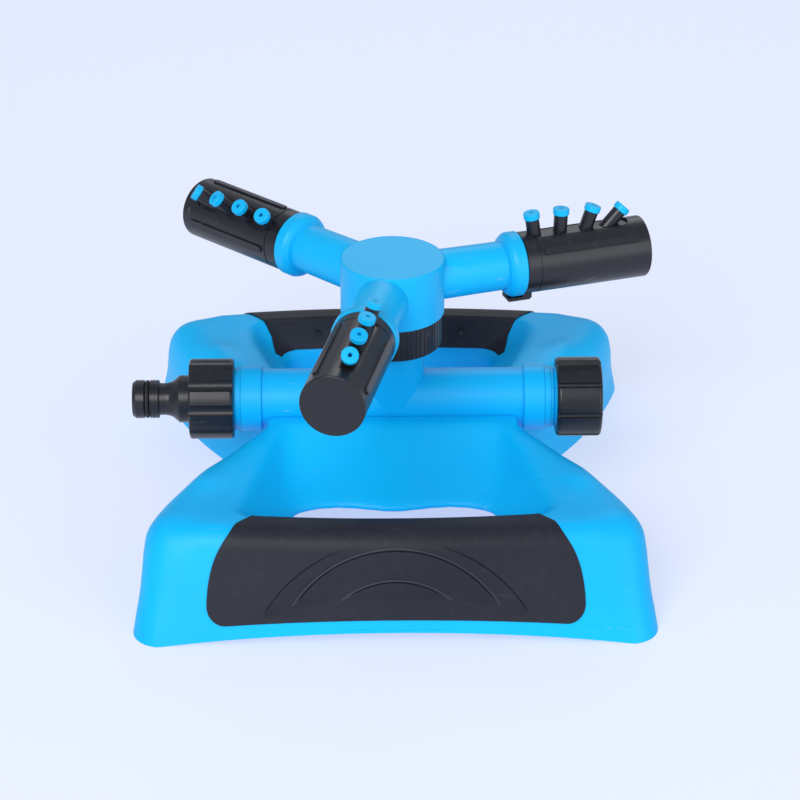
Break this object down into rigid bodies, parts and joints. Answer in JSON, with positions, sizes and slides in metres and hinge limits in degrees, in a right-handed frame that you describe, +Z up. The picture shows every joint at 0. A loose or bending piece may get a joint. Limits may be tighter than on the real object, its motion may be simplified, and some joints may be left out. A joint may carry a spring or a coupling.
{
  "type": "rotating garden sprinkler",
  "caption": "Rotating garden sprinkler on a moulded base with hand holes and soft grips; a spinning hub carries arms with nozzle barrels that roll, fed by a hose inlet.",
  "frame": {"origin": "on the ground under the rotor axis, at the centre of the footprint", "axes": "X along the water pipe with the hose inlet at -X, Y from the front wing to the rear wing, +Z up along the rotor axis"},
  "size_m": [0.2174, 0.2264, 0.1266],
  "materials": {
    "base_plastic": "satin-gloss blue moulding",
    "pipe_plastic": "satin-gloss blue moulding",
    "rotor_plastic": "satin-gloss blue moulding",
    "nozzle_plastic": "glossy light blue moulding",
    "black_plastic": "fine-textured black moulding",
    "grip_rubber": "soft-touch charcoal",
    "seal_rubber": "smooth black",
    "spindle_plastic": "natural white acetal",
    "screw_steel": "zinc-plated"
  },
  "bodies": {
    "stand": {"base": "base_plastic", "rear_grip": "grip_rubber", "front_grip": "grip_rubber", "rear_grip_pins": "black_plastic", "front_grip_pins": "black_plastic", "water_pipe": "pipe_plastic", "saddle_screws": "screw_steel", "saddle_washers": "screw_steel", "swivel_nut": "black_plastic", "lower_thrust_washer": "spindle_plastic", "upper_thrust_washer": "spindle_plastic"},
    "rotor": {"rotor_hub": "rotor_plastic", "spindle": "spindle_plastic", "spindle_o_ring": "seal_rubber", "right_arm_o_ring": "seal_rubber", "left_arm_o_ring": "seal_rubber", "front_arm_o_ring": "seal_rubber"},
    "end_cap_seal": {"end_cap_washer": "seal_rubber"},
    "end_cap": {"end_cap": "black_plastic"},
    "inlet_tail": {"inlet_nipple": "black_plastic", "nipple_o_ring": "seal_rubber", "inlet_washer": "seal_rubber"},
    "inlet_nut": {"inlet_nut": "black_plastic"},
    "right_barrel": {"right_barrel": "black_plastic", "right_barrel_plug": "black_plastic", "right_nozzle_tip_1": "nozzle_plastic", "right_nozzle_tip_2": "nozzle_plastic", "right_nozzle_tip_3": "nozzle_plastic", "right_nozzle_tip_4": "nozzle_plastic"},
    "left_barrel": {"left_barrel": "black_plastic", "left_barrel_plug": "black_plastic", "left_nozzle_tip_1": "nozzle_plastic", "left_nozzle_tip_2": "nozzle_plastic", "left_nozzle_tip_3": "nozzle_plastic", "left_nozzle_tip_4": "nozzle_plastic"},
    "front_barrel": {"front_barrel": "black_plastic", "front_barrel_plug": "black_plastic", "front_nozzle_tip_1": "nozzle_plastic", "front_nozzle_tip_2": "nozzle_plastic", "front_nozzle_tip_3": "nozzle_plastic", "front_nozzle_tip_4": "nozzle_plastic"}
  },
  "joints": [
    {"name": "rotor_spin", "type": "hinge", "parent": "stand", "child": "rotor", "pos_m": [0, 0, 0.1], "axis": [0, 0, 1], "continuous": true},
    {"name": "right_barrel_roll", "type": "hinge", "parent": "rotor", "child": "right_barrel", "pos_m": [0.07638, 0.02379, 0.1043], "axis": [0.9548, 0.2974, 0], "range_deg": [-87, 93]},
    {"name": "left_barrel_roll", "type": "hinge", "parent": "rotor", "child": "left_barrel", "pos_m": [-0.05879, 0.05425, 0.1043], "axis": [-0.7349, 0.6782, 0], "range_deg": [-48, 132]},
    {"name": "front_barrel_roll", "type": "hinge", "parent": "rotor", "child": "front_barrel", "pos_m": [-0.01759, -0.07804, 0.1043], "axis": [-0.2198, -0.9755, 0], "range_deg": [-74, 106]},
    {"name": "end_cap_travel", "type": "slide", "parent": "stand", "child": "end_cap_seal", "axis": [1, 0, 0], "range_m": [0, 0.0109]},
    {"name": "end_cap_turn", "type": "hinge", "parent": "end_cap_seal", "child": "end_cap", "pos_m": [0.078, 0, 0.05], "axis": [1, 0, 0], "range_deg": [0, 2160]},
    {"name": "inlet_travel", "type": "slide", "parent": "stand", "child": "inlet_tail", "axis": [-1, 0, 0], "range_m": [0, 0.0109]},
    {"name": "inlet_nut_turn", "type": "hinge", "parent": "inlet_tail", "child": "inlet_nut", "pos_m": [-0.078, 0, 0.05], "axis": [-1, 0, 0], "range_deg": [0, 2160]}
  ],
  "couplings": [
    {"joint": "end_cap_travel", "follows": "end_cap_turn", "m_per_rad": 0.00028871},
    {"joint": "inlet_travel", "follows": "inlet_nut_turn", "m_per_rad": 0.00028871}
  ]
}
